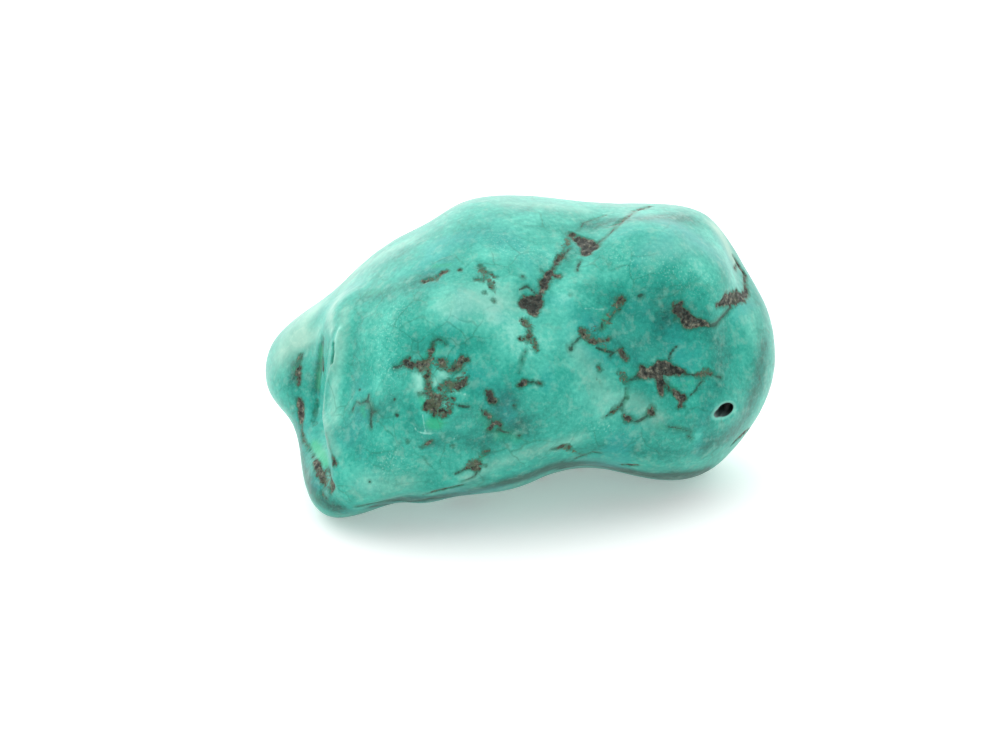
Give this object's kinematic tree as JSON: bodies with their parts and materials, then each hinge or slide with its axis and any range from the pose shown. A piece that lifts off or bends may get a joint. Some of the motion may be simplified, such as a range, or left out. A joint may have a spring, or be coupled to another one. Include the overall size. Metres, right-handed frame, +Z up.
{
  "type": "turquoise nugget",
  "caption": "Tumbled free-form nugget of blue-green turquoise with brown matrix veins, drilled with a fine hole through its narrow end.",
  "frame": {"origin": "centre of the bounding box at the bottom, on the surface that the stone lies on", "axes": "+X along the stone's length, towards the drilled end; +Z up; -Y towards the broad face that carries the drilled mouth"},
  "size_m": [0.0354, 0.0212, 0.0195],
  "materials": {
    "turquoise": "tumbled to a soft polish, blue-green with brown matrix in pits and veins"
  },
  "bodies": {
    "root": {"nugget": "turquoise"}
  },
  "joints": []
}
